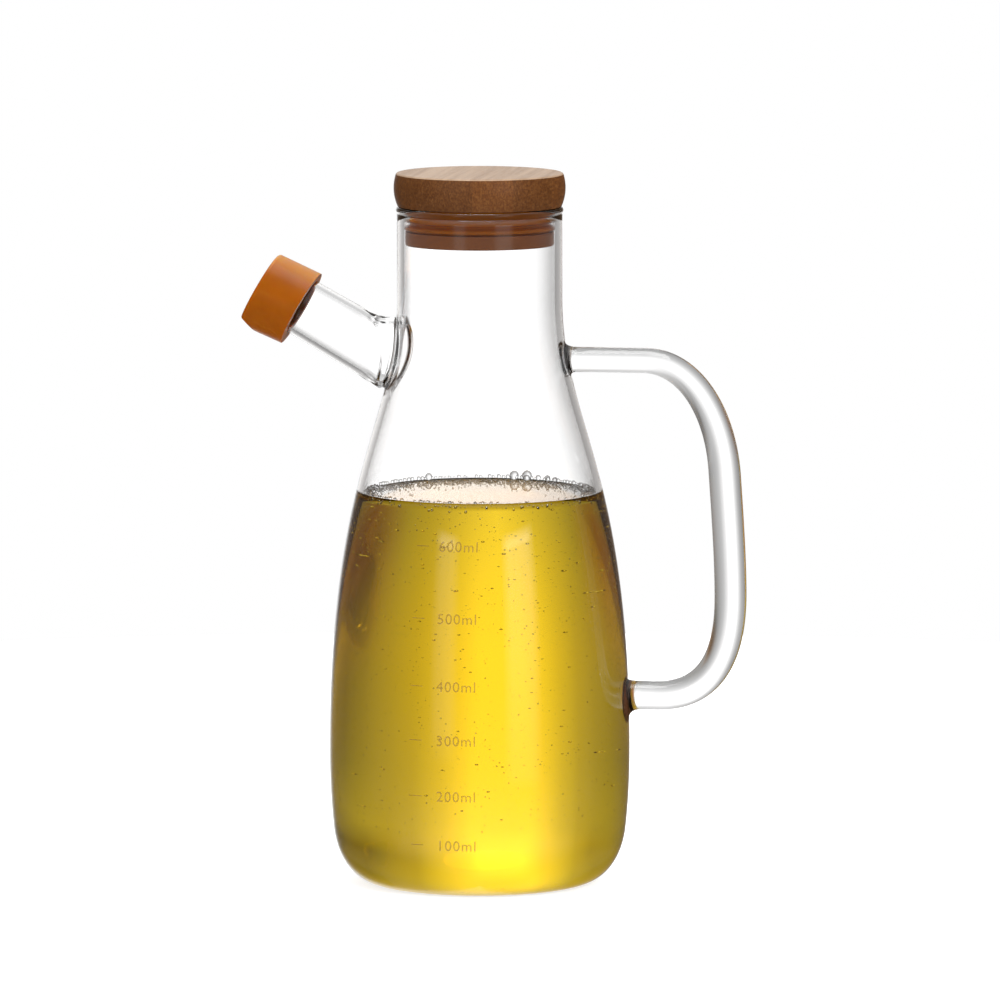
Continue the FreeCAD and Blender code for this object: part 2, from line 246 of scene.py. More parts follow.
# ---- the body's outline --------------------------------------------------------------------
def outline_parts(side_inset, neck_inset, floor_inset):
    """The pieces of the body's outline from the axis up to the neck, as (radius, height)."""
    rise = SHOULDER_TOP - BELLY_HEIGHT
    lean = 2 * HEEL_INSET / (BELLY_HEIGHT - HEEL_HEIGHT)
    side_pull = (BELLY_HEIGHT - HEEL_HEIGHT) / 3
    heel_pull = ROUND * (HEEL_HEIGHT - floor_inset)
    heel_x = BELLY_RADIUS - HEEL_INSET - side_inset
    belly_x = BELLY_RADIUS - side_inset
    neck_x = NECK_RADIUS - neck_inset
    flat_x = BELLY_RADIUS - HEEL_INSET - HEEL_WIDTH - side_inset / 2
    radii = np.linspace(0, PUSH_UP_RADIUS, 13)
    dome = np.column_stack([radii, floor_inset + PUSH_UP_HEIGHT * (1 - (radii / PUSH_UP_RADIUS) ** 2)])
    flat = straight((PUSH_UP_RADIUS, floor_inset), (flat_x, floor_inset), 5)
    heel = cubic([(flat_x, floor_inset), (flat_x + ROUND * (heel_x - flat_x), floor_inset),
                  (heel_x - heel_pull * lean, HEEL_HEIGHT - heel_pull),
                  (heel_x, HEEL_HEIGHT)], 22)
    side = cubic([(heel_x, HEEL_HEIGHT), (heel_x + side_pull * lean, HEEL_HEIGHT + side_pull),
                  (belly_x, BELLY_HEIGHT - side_pull), (belly_x, BELLY_HEIGHT)], 200)
    shoulder = cubic([(belly_x, BELLY_HEIGHT), (belly_x, BELLY_HEIGHT + LOW_PULL * rise),
                      (neck_x, SHOULDER_TOP - HIGH_PULL * rise), (neck_x, SHOULDER_TOP)], 2000)
    return np.vstack([dome, flat[1:], heel[1:]]), np.vstack([side, shoulder[1:]]), neck_x


def wall_radius(side_inset, neck_inset, floor_inset):
    """A function that gives the wall's radius at each height above the heel."""
    _, wall, neck_x = outline_parts(side_inset, neck_inset, floor_inset)
    wall = np.vstack([wall, [(neck_x, RIM_HEIGHT)]])
    return lambda heights: resample(wall, heights)


outer_radius = wall_radius(0, 0, 0)
inner_radius = wall_radius(BODY_WALL, NECK_WALL, BASE_THICKNESS)

# ---- glass ---------------------------------------------------------------------------------
COLUMNS = 192
HANDLE_CELLS = 16
SPOUT_CELLS_WIDE = 32
SPOUT_CELLS_TALL = 28
ROW_PITCH = 0.93              # rows beside the spout and the handle's top
FOOT_PITCH = 1.35             # rows beside the handle's foot
NECK_PITCH = 1.8
WALL_PITCH = 2.2              # rows elsewhere


def climb(start, end, pitch):
    """Evenly spaced heights from start up to, but without, end."""
    count = max(1, round((end - start) / pitch))
    return list(np.linspace(start, end, count, endpoint=False))


foot_centre = HANDLE_FOOT - FOOT_WELD_SAG / 2
foot_low = foot_centre - FOOT_PITCH * HANDLE_CELLS / 2
foot_high = foot_centre + FOOT_PITCH * HANDLE_CELLS / 2
spout_low = SEAM[2] - ROW_PITCH * SPOUT_CELLS_TALL / 2
spout_high = SEAM[2] + ROW_PITCH * SPOUT_CELLS_TALL / 2
top_offset = round((HANDLE_TOP - SEAM[2]) / ROW_PITCH)
top_centre = SEAM[2] + top_offset * ROW_PITCH


def spout_radius(along):
    """Outside radius of the spout at a distance from the weld."""
    return SPOUT_ROOT_RADIUS + (SPOUT_TIP_RADIUS - SPOUT_ROOT_RADIUS) * along / SPOUT_LENGTH


def seam_along(angles, inset):
    """How far along the spout's axis the saddle-shaped weld lies, at each angle round it."""
    centre_x = SADDLE_RADIUS + SEAM[0]
    along = np.zeros_like(angles)
    for _ in range(12):
        radius = spout_radius(along) - inset
        y = radius * np.cos(angles)
        x = centre_x - np.sqrt(SADDLE_RADIUS ** 2 - y ** 2)
        along = (x - SEAM[0] - radius * np.sin(angles) * UPWARD[0]) / OUTLET[0]
    return along


def spout_points(angles, along, inset, lift=0):
    """Points on the spout's wall; lift moves them out of the wall."""
    radius = spout_radius(along) - inset + lift
    return (SEAM + np.outer(along, OUTLET) + np.outer(radius * np.cos(angles), ACROSS)
            + np.outer(radius * np.sin(angles), UPWARD))


def crinkle(angles, away):
    """Puckers of the melted glass round the weld, strongest above and below the spout."""
    strong = 0.25 + 0.75 * np.abs(np.sin(angles)) ** 3
    fade = np.exp(-(away / 4.2) ** 2)
    wave = (np.sin(angles * 9 + away * 0.55 + 0.8) * 0.10 + np.sin(angles * 17 - away * 0.9 + 2.1) * 0.07
            + np.sin(away * 2.3 + angles * 4) * 0.07)
    return strong * fade * wave


def spout_wall_rows(ring_angles, inset, radius_at, fillet, detail):
    """The loop on the neck's wall, and rows from it along the collar and the spout to the mouth.

    The fillet is positive on the outside and negative in the bore.
    """
    seam = seam_along(ring_angles, inset)
    at_seam = spout_points(ring_angles, seam, inset)
    flat = at_seam[:, 1:]
    along_curve = np.roll(flat, -1, axis=0) - np.roll(flat, 1, axis=0)
    normal = np.column_stack([along_curve[:, 1], -along_curve[:, 0]])
    normal /= np.linalg.norm(normal, axis=1)[:, None]
    loop = flat + normal * fillet
    wall_x = -np.sqrt(radius_at(flat[:, 1]) ** 2 - flat[:, 0] ** 2)
    loop_x = -np.sqrt(radius_at(loop[:, 1]) ** 2 - loop[:, 0] ** 2)
    rows = []
    for share in np.linspace(0, 1, 8)[1:]:
        a, b, c = (1 - share) ** 2, 2 * share * (1 - share), share ** 2
        yz = a * loop + (b + c) * flat
        x = a * loop_x + b * wall_x + c * (wall_x - fillet)
        rows.append(np.column_stack([x, yz]))
    collar_start = wall_x - fillet
    out = np.column_stack([np.zeros(len(flat)), normal])
    for share in np.linspace(0, 1, 15)[1:]:
        x = collar_start + (at_seam[:, 0] - collar_start) * share
        away = np.abs(at_seam[:, 0] - x)
        lift = detail * (WELD_BEAD * np.exp(-(away / WELD_BEAD_WIDTH) ** 2) + crinkle(ring_angles, away))
        shaded = out
        if share == 1:
            tube_out = np.outer(np.cos(ring_angles), ACROSS) + np.outer(np.sin(ring_angles), UPWARD)
            shaded = out + tube_out
            shaded /= np.linalg.norm(shaded, axis=1)[:, None]
        rows.append(np.column_stack([x, flat]) + shaded * lift[:, None])
    close = np.linspace(0, NEAR_SEAM, 14)[1:]
    for step in (*close, *np.linspace(NEAR_SEAM, SPOUT_LENGTH, 31)[1:]):
        squeeze = (SPOUT_LENGTH - seam) / SPOUT_LENGTH if step > NEAR_SEAM else np.ones(len(seam))
        away = step * np.minimum(1, squeeze)
        share = step / SPOUT_LENGTH
        along = seam * (1 - share) + step
        lift = detail * (WELD_BEAD * np.exp(-(away / WELD_BEAD_WIDTH) ** 2) + crinkle(ring_angles, -away))
        rows.append(spout_points(ring_angles, along, inset, lift))
    return loop, rows


def rod_line():
    """The handle's centreline and radius: points, tangents and radii along it."""
    def unit(v):
        return v / np.linalg.norm(v)
    start = np.array([NECK_RADIUS + TOP_WELD_LENGTH, HANDLE_TOP])
    bend = np.array([HANDLE_BEND, HANDLE_TOP])
    grip_top = np.array([HANDLE_OUT - HANDLE_LEAN, HANDLE_GRIP_TOP])
    grip_out = np.array([HANDLE_OUT, HANDLE_OUT_HEIGHT])
    foot_bend = np.array([HANDLE_FOOT_BEND, HANDLE_FOOT])
    foot = np.array([float(outer_radius(HANDLE_FOOT)) + FOOT_WELD_LENGTH, HANDLE_FOOT])
    lean = unit(np.array([1.4 * HANDLE_LEAN / (HANDLE_GRIP_TOP - HANDLE_OUT_HEIGHT), -1]))
    right, down = np.array([1, 0]), np.array([0, -1])
    upper, grip, lower = (np.linalg.norm(d) for d in
                          (grip_top - bend, grip_out - grip_top, foot_bend - grip_out))
    spans = [
        (straight(start, bend, 13), ROD_TOP_RADIUS, ROD_TOP_RADIUS),
        (cubic([bend, bend + right * upper * 0.325, grip_top - lean * upper * 0.455, grip_top], 34),
         ROD_TOP_RADIUS, ROD_GRIP_RADIUS),
        (cubic([grip_top, grip_top + lean * grip * 0.3, grip_out - down * grip * 0.3, grip_out], 16),
         ROD_GRIP_RADIUS, ROD_GRIP_RADIUS),
        (cubic([grip_out, grip_out + down * lower * 0.475, foot_bend + right * lower * 0.44,
                foot_bend], 36), ROD_GRIP_RADIUS, ROD_FOOT_RADIUS),
        (straight(foot_bend, foot, 4), ROD_FOOT_RADIUS, ROD_FOOT_RADIUS),
    ]
    points = np.vstack([spans[0][0]] + [span[0][1:] for span in spans[1:]])
    radii = np.concatenate([np.linspace(spans[0][1], spans[0][2], len(spans[0][0]))]
                           + [np.linspace(a, b, len(p))[1:] for p, a, b in spans[1:]])
    tangents = np.gradient(points, axis=0)
    tangents /= np.linalg.norm(tangents, axis=1)[:, None]
    return points, tangents, radii


def weld_rows(angles, side_height, start_height, foot_radius, rod_radius, length, flip):
    """The loop on the wall and the rows of a melted foot that spreads from the rod."""
    circle = np.column_stack([np.cos(angles), flip * np.sin(angles)])
    loop = circle * foot_radius + (0, side_height)
    near = circle * rod_radius + (0, start_height)
    loop_x = np.sqrt(outer_radius(loop[:, 1]) ** 2 - loop[:, 0] ** 2)
    near_x = np.sqrt(outer_radius(near[:, 1]) ** 2 - near[:, 0] ** 2)
    end_x = float(outer_radius(start_height)) + length
    rows = []
    for share in np.linspace(0, 1, WELD_ROWS)[1:]:
        a, b, c = (1 - share) ** 2, 2 * share * (1 - share), share ** 2
        yz = a * loop + (b + c) * near
        rows.append(np.column_stack([a * loop_x + b * near_x + c * end_x, yz]))
    return loop, rows


def build_glass():
    """The welded jug: turned walls with gaps, which the handle and the spout close."""
    skin = Skin()
    base, _, _ = outline_parts(0, 0, 0)
    floor, _, bore_x = outline_parts(BODY_WALL, NECK_WALL, BASE_THICKNESS)
    bead_radius = (NECK_WALL + BEAD_PROUD) / 2
    bead_x = bore_x + bead_radius
    bead_z = RIM_HEIGHT - bead_radius
    # outer skin, from the middle of the base up to the rim
    heights = (climb(HEEL_HEIGHT, foot_low, WALL_PITCH)
               + climb(foot_low, foot_high, FOOT_PITCH)
               + climb(foot_high, spout_low, WALL_PITCH)
               + climb(spout_low, spout_high, ROW_PITCH)
               + climb(spout_high, bead_z - bead_radius, NECK_PITCH) + [bead_z - bead_radius])
    heights = np.array(heights)
    outline = [tuple(p) for p in base[:-1]]
    first_row = len(outline)
    outline += list(zip(outer_radius(heights), heights))
    for angle in np.linspace(-math.pi * 0.36, math.pi, 15):
        outline.append((bead_x + bead_radius * math.cos(angle), bead_z + bead_radius * math.sin(angle)))
    inner_heights = (climb(HEEL_HEIGHT, spout_low, WALL_PITCH)
                     + climb(spout_low, spout_high, ROW_PITCH)
                     + climb(spout_high, bead_z, NECK_PITCH))
    inner_heights = np.array(inner_heights)
    inner_first = len(outline)
    outline += list(zip(inner_radius(inner_heights), inner_heights))[::-1]
    outline += [tuple(p) for p in floor[:-1]][::-1]

    def row_of(height):
        return first_row + int(np.argmin(np.abs(heights - height)))

    def inner_row_of(height):
        return inner_first + len(inner_heights) - 1 - int(np.argmin(np.abs(inner_heights - height)))

    half = HANDLE_CELLS // 2
    top_gap = (-half, HANDLE_CELLS, row_of(top_centre) - half, HANDLE_CELLS)
    foot_gap = (-half, HANDLE_CELLS, row_of(foot_low), HANDLE_CELLS)
    middle = COLUMNS // 2
    spout_gap = (middle - SPOUT_CELLS_WIDE // 2, SPOUT_CELLS_WIDE, row_of(spout_low), SPOUT_CELLS_TALL)
    inner_gap = (middle - SPOUT_CELLS_WIDE // 2, SPOUT_CELLS_WIDE, inner_row_of(spout_high),
                 SPOUT_CELLS_TALL)
    grid = turn(skin, outline, COLUMNS, (top_gap, foot_gap, spout_gap, inner_gap))

    # handle
    angles = np.arange(4 * HANDLE_CELLS) * TAU / (4 * HANDLE_CELLS)
    loop, rows = weld_rows(angles, HANDLE_TOP, HANDLE_TOP, TOP_WELD_RADIUS + 0.8, ROD_TOP_RADIUS,
                           TOP_WELD_LENGTH, 1)
    ring = patch(skin, border(skin, grid, top_gap, top_centre), loop, 4, outer_radius, 1)
    ring = skin.rings(ring, rows)
    points, tangents, radii = rod_line()
    rod = []
    for (x, z), (tx, tz), radius in zip(points[1:], tangents[1:], radii[1:]):
        across = radius * np.cos(angles)
        upward = radius * np.sin(angles)
        rod.append(np.column_stack([x - tz * upward, across, z + tx * upward]))
    ring = skin.rings(ring, rod)
    loop, rows = weld_rows(angles, HANDLE_FOOT - FOOT_WELD_SAG, HANDLE_FOOT, FOOT_WELD_RADIUS + 0.6,
                           ROD_FOOT_RADIUS, FOOT_WELD_LENGTH, -1)
    start = border(skin, grid, foot_gap, foot_centre)
    start = start[:1] + start[:0:-1]
    start = patch(skin, start, loop, 4, outer_radius, 1)
    start = skin.rings(start, rows[:-1])
    skin.bridge(ring, start)

    # spout, outside and inside, joined by its rounded lip
    count = 2 * (SPOUT_CELLS_WIDE + SPOUT_CELLS_TALL)
    angles = np.arange(count) * TAU / count
    loop, rows = spout_wall_rows(angles, 0, outer_radius, COLLAR_SPREAD, 1)
    ring = patch(skin, border(skin, grid, spout_gap, SEAM[2]), loop, 3, outer_radius, -1)
    outside = skin.rings(ring, rows[:-1])
    loop, rows = spout_wall_rows(angles, SPOUT_WALL, inner_radius, -BORE_SPREAD, BORE_DETAIL)
    ring = patch(skin, border(skin, grid, inner_gap, SEAM[2]), loop, 4, inner_radius, -1)
    inside = skin.rings(ring, rows[:-1])
    lip = []
    lip_radius = SPOUT_WALL / 2
    for angle in np.linspace(0, math.pi, 9)[1:-1]:
        inset = lip_radius * (1 - math.cos(angle))
        along = SPOUT_LENGTH - lip_radius + lip_radius * math.sin(angle)
        lip.append(spout_points(angles, np.full(count, along), inset))
    lip.insert(0, spout_points(angles, np.full(count, SPOUT_LENGTH - lip_radius), 0))
    lip.append(spout_points(angles, np.full(count, SPOUT_LENGTH - lip_radius), SPOUT_WALL))
    end = skin.rings(outside, lip)
    skin.bridge(end, inside)
    return make_piece("glass_jug", skin.points, skin.faces, "glass_bottle")


def build_oil():
    """The oil up to its level, with a meniscus at the wall."""
    skin = Skin()
    radius_at = wall_radius(BODY_WALL - OIL_INTO_WALL, NECK_WALL - OIL_INTO_WALL,
                            BASE_THICKNESS - OIL_INTO_WALL)
    floor, _, _ = outline_parts(BODY_WALL - OIL_INTO_WALL, NECK_WALL - OIL_INTO_WALL,
                                BASE_THICKNESS - OIL_INTO_WALL)
    rim_z = OIL_LEVEL + MENISCUS_RISE
    heights = np.array(climb(HEEL_HEIGHT, rim_z, WALL_PITCH) + [rim_z])
    outline = [tuple(p) for p in floor[:-1]] + list(zip(radius_at(heights), heights))
    edge = float(inner_radius(OIL_LEVEL))
    low = edge - MENISCUS_WIDTH
    lip = cubic([(edge, rim_z), (edge - 0.35 * MENISCUS_WIDTH, OIL_LEVEL + 0.15),
                 (low + 0.4 * MENISCUS_WIDTH, OIL_LEVEL), (low, OIL_LEVEL)], 9)
    outline += [tuple(p) for p in lip]
    outline += [(r, OIL_LEVEL) for r in np.linspace(low, 0, 24)[1:]]
    turn(skin, outline, COLUMNS)
    return make_piece("oil_fill", skin.points, skin.faces, "oil")


# ---- small round things in and on the oil --------------------------------------------------
LEVEL_RADIUS = float(inner_radius(OIL_LEVEL))
LARGE_FOAM = ((80.5, 1.45), (73, 1.65), (127, 1.15), (67, 0.85), (61, 0.95), (56, 0.7))   # degrees, radius
FOAM_CLUSTERS = ((8, 12, 110), (188, 12, 100), (262, 40, 60))      # middle and spread in degrees, number
FINE_FOAM = 900
AIR_BUBBLES = 2150
AIR_ROW = 260


def sphere(divisions):
    """Points and triangles of a unit sphere."""
    work = bmesh.new()
    bmesh.ops.create_icosphere(work, subdivisions=divisions, radius=1)
    points = np.array([v.co[:] for v in work.verts])
    faces = [tuple(v.index for v in f.verts) for f in work.faces]
    work.free()
    return points, faces


def spheres(name, centres, radii, divisions, inward=False):
    """One mesh of many spheres. Inward ones are bubbles of air in the oil."""
    unit, triangles = sphere(divisions)
    points, faces = [], []
    for centre, radius in zip(centres, radii):
        first = len(points) * len(unit)
        points.append(unit * radius + centre)
        for a, b, c in triangles:
            faces.append((first + a, first + c, first + b) if inward else (first + a, first + b, first + c))
    mesh = bpy.data.meshes.new(name)
    mesh.from_pydata((np.vstack(points) * MM).tolist(), [], faces)
    mesh.shade_smooth()
    return ride_along(name, mesh)


def on_wall(angle, height, inward):
    """A place near the wall, some way in towards the axis."""
    radius = inner_radius(height) - inward
    return np.column_stack([radius * np.cos(angle), radius * np.sin(angle), height])


def build_foam():
    """Bubbles that float against the wall: one uneven row, some large ones, two clusters."""
    chance = np.random.default_rng(7)
    centres, radii = [], []
    angle = 0.0
    while angle < math.pi * 1.02:
        radius = chance.uniform(0.45, 0.68) if chance.random() < 0.8 else chance.uniform(0.25, 0.4)
        if chance.random() < 0.86:
            centres.append(on_wall(angle, OIL_LEVEL + MENISCUS_RISE + radius * 0.9, radius * 1.08))
            radii.append(radius)
        angle += (2.1 + chance.random() * 0.9) * radius / LEVEL_RADIUS
    for degrees, radius in LARGE_FOAM:
        centres.append(on_wall(math.radians(degrees), OIL_LEVEL + 0.7 + radius * 0.6, radius * 1.02))
        radii.append(radius)
    for middle, spread, number in FOAM_CLUSTERS:
        for each in middle + chance.normal(0, spread, number):
            radius = chance.uniform(0.2, 0.5)
            inward = radius * 1.1 + abs(chance.normal(0, 1.1))
            centres.append(on_wall(math.radians(each), OIL_LEVEL + radius * 0.6 + 0.8 * math.exp(-inward),
                                   inward))
            radii.append(radius)
    return spheres("foam_bubbles", np.vstack(centres), radii, 2)


def build_fine_foam():
    """The fine foam that drifts on the oil, most of it behind the middle."""
    chance = np.random.default_rng(11)
    angle = np.radians(99 + chance.normal(0, 46, FINE_FOAM))
    reach = LEVEL_RADIUS * (0.96 - np.abs(chance.normal(0, 0.2, FINE_FOAM)))
    radii = chance.uniform(0.12, 0.3, FINE_FOAM)
    centres = np.column_stack([reach * np.cos(angle), reach * np.sin(angle), OIL_LEVEL + radii * 0.3])
    return spheres("fine_foam", centres, radii, 2)


def build_air_bubbles():
    """Tiny bubbles of air all through the oil, and a row just under its surface at the wall."""
    chance = np.random.default_rng(3)
    height = OIL_LEVEL - 3 - (OIL_LEVEL - 22) * chance.random(AIR_BUBBLES) ** 1.25
    angle = chance.uniform(0, TAU, AIR_BUBBLES)
    depth = chance.uniform(0.4, 1, AIR_BUBBLES) ** 0.5
    reach = (inner_radius(np.maximum(height, HEEL_HEIGHT)) - 1.5) * depth
    radii = 0.08 + 0.2 * chance.random(AIR_BUBBLES) ** 3
    centres = np.column_stack([reach * np.cos(angle), reach * np.sin(angle), height])
    row_angle = np.radians(chance.uniform(0, 360, AIR_ROW))
    row_radii = 0.12 + 0.38 * chance.random(AIR_ROW) ** 2.2
    row_height = OIL_LEVEL - row_radii - 0.1 - np.abs(chance.normal(0, 0.7, AIR_ROW))
    row = on_wall(row_angle, row_height, row_radii + 0.15)
    return spheres("air_bubbles", np.vstack([centres, row]), np.concatenate([radii, row_radii]),
                   2, inward=True)


# ---- volume scale --------------------------------------------------------------------------
# millilitres and the mark's height
SCALE = ((600, 107.7), (500, 86.1), (400, 65.7), (300, 49.3), (200, 32.3), (100, 17.2))
DIGIT_HEIGHT = 3.1
DIGIT_SHARE = 0.69                    # a digit's height in its font's size
PRINT_LIFT = 0.03
TICK_TURN = math.radians(15.9)        # the ticks' middle, to the left of the figures
TICK_LENGTH = 4.0
TICK_HEIGHT = 0.22


def wrapped(points, height):
    """Bends flat print (across, up) round the wall at a height, facing the scale's side."""
    up = height + points[:, 1]
    radius = outer_radius(np.maximum(up, HEEL_HEIGHT)) + PRINT_LIFT
    turned = -math.pi / 2 + points[:, 0] / radius
    return np.column_stack([radius * np.cos(turned), radius * np.sin(turned), up])


def build_scale():
    """Each mark's figures and its tick, as one piece."""
    points, faces = [], []

    def put(flat, cells, height):
        faces.extend(tuple(len(points) + k for k in cell) for cell in cells)
        points.extend(wrapped(flat, height).tolist())

    for amount, height in SCALE:
        words = bpy.data.curves.new("figures", "FONT")
        words.body = f"{amount}ml"
        words.size = DIGIT_HEIGHT / DIGIT_SHARE
        words.align_x = "CENTER"
        words.space_character = 1.12
        words.resolution_u = 3
        holder = bpy.data.objects.new("figures", words)
        bpy.context.scene.collection.objects.link(holder)
        ready = holder.evaluated_get(bpy.context.evaluated_depsgraph_get())
        flat_mesh = bpy.data.meshes.new_from_object(ready)
        flat = np.array([v.co[:2] for v in flat_mesh.vertices])
        cells = [tuple(f.vertices) for f in flat_mesh.polygons]
        put(flat - (0, DIGIT_HEIGHT / 2), cells, height)
        bpy.data.objects.remove(holder)
        bpy.data.meshes.remove(flat_mesh)
        bpy.data.curves.remove(words)
        middle = -TICK_TURN * float(outer_radius(max(height, HEEL_HEIGHT)))
        across = np.linspace(-TICK_LENGTH / 2, TICK_LENGTH / 2, 7) + middle
        tick = [(x, side * TICK_HEIGHT / 2) for side in (-1, 1) for x in across]
        put(np.array(tick), [(k, k + 1, k + 8, k + 7) for k in range(6)], height)
    mesh = bpy.data.meshes.new("volume_scale")
    mesh.from_pydata((np.array(points) * MM).tolist(), [], faces)
    return ride_along("volume_scale", mesh)


# ---- materials -----------------------------------------------------------------------------
WHITE = (1.0, 1.0, 1.0)


class Graph:
    """Short ways to add nodes to a material or world."""

    def __init__(self, tree):
        self.tree = tree

    def node(self, kind, **settings):
        made = self.tree.nodes.new("ShaderNode" + kind)
        for key, value in settings.items():
            setattr(made, key, value)
        return made

    def plug(self, socket, value):
        if isinstance(value, bpy.types.NodeSocket):
            self.tree.links.new(value, socket)
        else:
            socket.default_value = value

    def math(self, operation, *values, clamp=False):
        made = self.node("Math", operation=operation, use_clamp=clamp)
        for socket, value in zip(made.inputs, values):
            self.plug(socket, value)
        return made.outputs[0]

    def window(self, value, low, high, soft):
        """1 between low and high, falling to 0 over soft at each end."""
        up = self.math("DIVIDE", self.math("SUBTRACT", value, low - soft / 2), soft, clamp=True)
        down = self.math("DIVIDE", self.math("SUBTRACT", high + soft / 2, value), soft, clamp=True)
        return self.math("MULTIPLY", self.math("SMOOTH_MIN", up, 1, 0.1),
                         self.math("SMOOTH_MIN", down, 1, 0.1))

    def split(self, vector):
        """The three parts of a vector."""
        made = self.node("SeparateXYZ")
        self.plug(made.inputs[0], vector)
        return made.outputs

    def ramp(self, value, stops, smooth="LINEAR"):
        """stops are (position, grey or colour)."""
        made = self.node("ValToRGB")
        band = made.color_ramp
        band.interpolation = smooth
        while len(band.elements) < len(stops):
            band.elements.new(1)
        for element, (position, colour) in zip(band.elements, stops):
            element.position = position
            element.color = (*colour, 1) if isinstance(colour, tuple) else (colour, colour, colour, 1)
        self.plug(made.inputs[0], value)
        return made.outputs[0]

    def blend(self, share, one, other, kind="MIX"):
        made = self.node("Mix", data_type="RGBA", blend_type=kind)
        for socket, value in zip((made.inputs[0], made.inputs[6], made.inputs[7]), (share, one, other)):
            self.plug(socket, (*value, 1) if isinstance(value, tuple) else value)
        return made.outputs[2]

    def place(self, scale=(1, 1, 1), turn=(0, 0, 0)):
        """Object coordinates in metres, scaled."""
        made = self.node("Mapping")
        made.inputs["Scale"].default_value = scale
        made.inputs["Rotation"].default_value = turn
        self.plug(made.inputs[0], self.node("TexCoord").outputs["Object"])
        return made.outputs[0]

    def noise(self, place, scale, detail=3, roughness=0.5):
        made = self.node("TexNoise")
        self.plug(made.inputs["Vector"], place)
        for key, value in (("Scale", scale), ("Detail", detail), ("Roughness", roughness)):
            made.inputs[key].default_value = value
        return made.outputs[0]

    def bump(self, height, strength, distance):
        made = self.node("Bump")
        made.inputs["Strength"].default_value = strength
        made.inputs["Distance"].default_value = distance
        self.plug(made.inputs["Height"], height)
        return made.outputs[0]


def material(name, **settings):
    """A Principled material; settings are its sockets' values, spaces as underscores."""
    made = bpy.data.materials.new(name)
    made.use_nodes = True
    shader = made.node_tree.nodes["Principled BSDF"]
    for key, value in settings.items():
        shader.inputs[key.replace("_", " ")].default_value = value
    return made, Graph(made.node_tree), shader


def give(piece, made):
    piece.data.materials.clear()
    piece.data.materials.append(made)


WELD_REACH = 1.5                      # how far out from the wall the handle's melted feet go
WELD_ROUGHNESS = 0.45
WELD_RIPPLE = 2.0                     # ripple of the melted glass, against the wall's waviness
FOOT_PAINTED_OIL_TINT = (1.0, 0.3, 0.1)           # painted: the oil's red-brown seen through the lower foot, tinted into its glass


def weld_mask(graph, height, foot_radius):
    """1 on one of the handle's melted feet."""
    x, y, z = graph.split(graph.place())
    out = graph.math("SQRT", graph.math("ADD", graph.math("MULTIPLY", x, x), graph.math("MULTIPLY", y, y)))
    up = graph.math("SUBTRACT", z, height * MM)
    away = graph.math("SQRT", graph.math("MULTIPLY_ADD", y, y, graph.math("MULTIPLY", up, up)))
    wall = float(outer_radius(height))
    ring = graph.math("MULTIPLY", graph.window(out, (wall - 0.2) * MM, (wall + WELD_REACH) * MM, 0.6 * MM),
                      graph.window(away, -1, (foot_radius + 0.2) * MM, 0.8 * MM))
    return graph.math("MULTIPLY", ring, graph.math("GREATER_THAN", x, 0))


def glass_material():
    """Clear glass, with the faint waviness of a blown wall, rougher where the handle was melted on, and a
    painted red-brown tint in the lower foot for the oil seen through it.
    """
    made, graph, shader = material("clear_borosilicate", Base_Color=(1, 1, 1, 1), Roughness=0,
                                   IOR=1.47, Transmission_Weight=1)
    wave = graph.noise(graph.place((1, 1, 0.25)), 60, 1)
    top = weld_mask(graph, HANDLE_TOP, TOP_WELD_RADIUS)
    foot = weld_mask(graph, HANDLE_FOOT - FOOT_WELD_SAG, FOOT_WELD_RADIUS)
    weld = graph.math("ADD", top, foot)
    graph.plug(shader.inputs["Roughness"], graph.math("MULTIPLY", weld, WELD_ROUGHNESS))
    # painted: the lower foot's glass tinted red-brown, standing in for the oil seen through the weld
    graph.plug(shader.inputs["Base Color"], graph.blend(foot, WHITE, FOOT_PAINTED_OIL_TINT))
    ripple = graph.math("MULTIPLY", graph.noise(graph.place(), 1400, 2), weld)
    height = graph.math("ADD", wave, graph.math("MULTIPLY", ripple, WELD_RIPPLE))
    graph.plug(shader.inputs["Normal"], graph.bump(height, 0.05, 0.001))
    return made


OIL_DENSITY = 75                      # how much the oil absorbs in a metre
OIL_COLOUR = (0.9975, 0.932, 0.35, 1)


def oil_material():
    """No mirroring where the oil wets the wall: the glass on it does that."""
    made, graph, shader = material("olive_oil", Base_Color=(1, 1, 1, 1), Roughness=0, IOR=1.465,
                                   Transmission_Weight=1, Specular_Tint=(0, 0, 0, 1))
    absorb = graph.node("VolumeAbsorption")
    absorb.inputs["Color"].default_value = OIL_COLOUR
    absorb.inputs["Density"].default_value = OIL_DENSITY
    graph.plug(made.node_tree.nodes["Material Output"].inputs["Volume"], absorb.outputs[0])
    return made


def bubble_material(name, ior):
    """A clear bubble: a thin film above the oil, or air in it."""
    made, _, _ = material(name, Base_Color=(1, 1, 1, 1), Roughness=0, IOR=ior, Transmission_Weight=1)
    return made


GRAIN_TURN = (0, 0, math.radians(-14))      # the lid lies a little askew
STRIP_WIDTH = 12.5
LID_TOP = 217.2                       # just under the lid's upper face
BAMBOO_TONES = [(0.3, (0.088, 0.027, 0.005)), (0.5, (0.125, 0.042, 0.008)), (0.72, (0.185, 0.071, 0.016))]
BAMBOO_DOT = (0.045, 0.014, 0.005)
# painted sheen: the lid's upper face paler, for the light that grazes it
LID_TOP_SHEEN_TONES = [(0.35, (0.34, 0.225, 0.14)), (0.65, (0.5, 0.355, 0.24))]
# painted light: the plug inside the neck made brighter and redder, for the light the glass keeps from it
PLUG_PAINTED_LIGHT = (0.62, 0.2, 0.065)


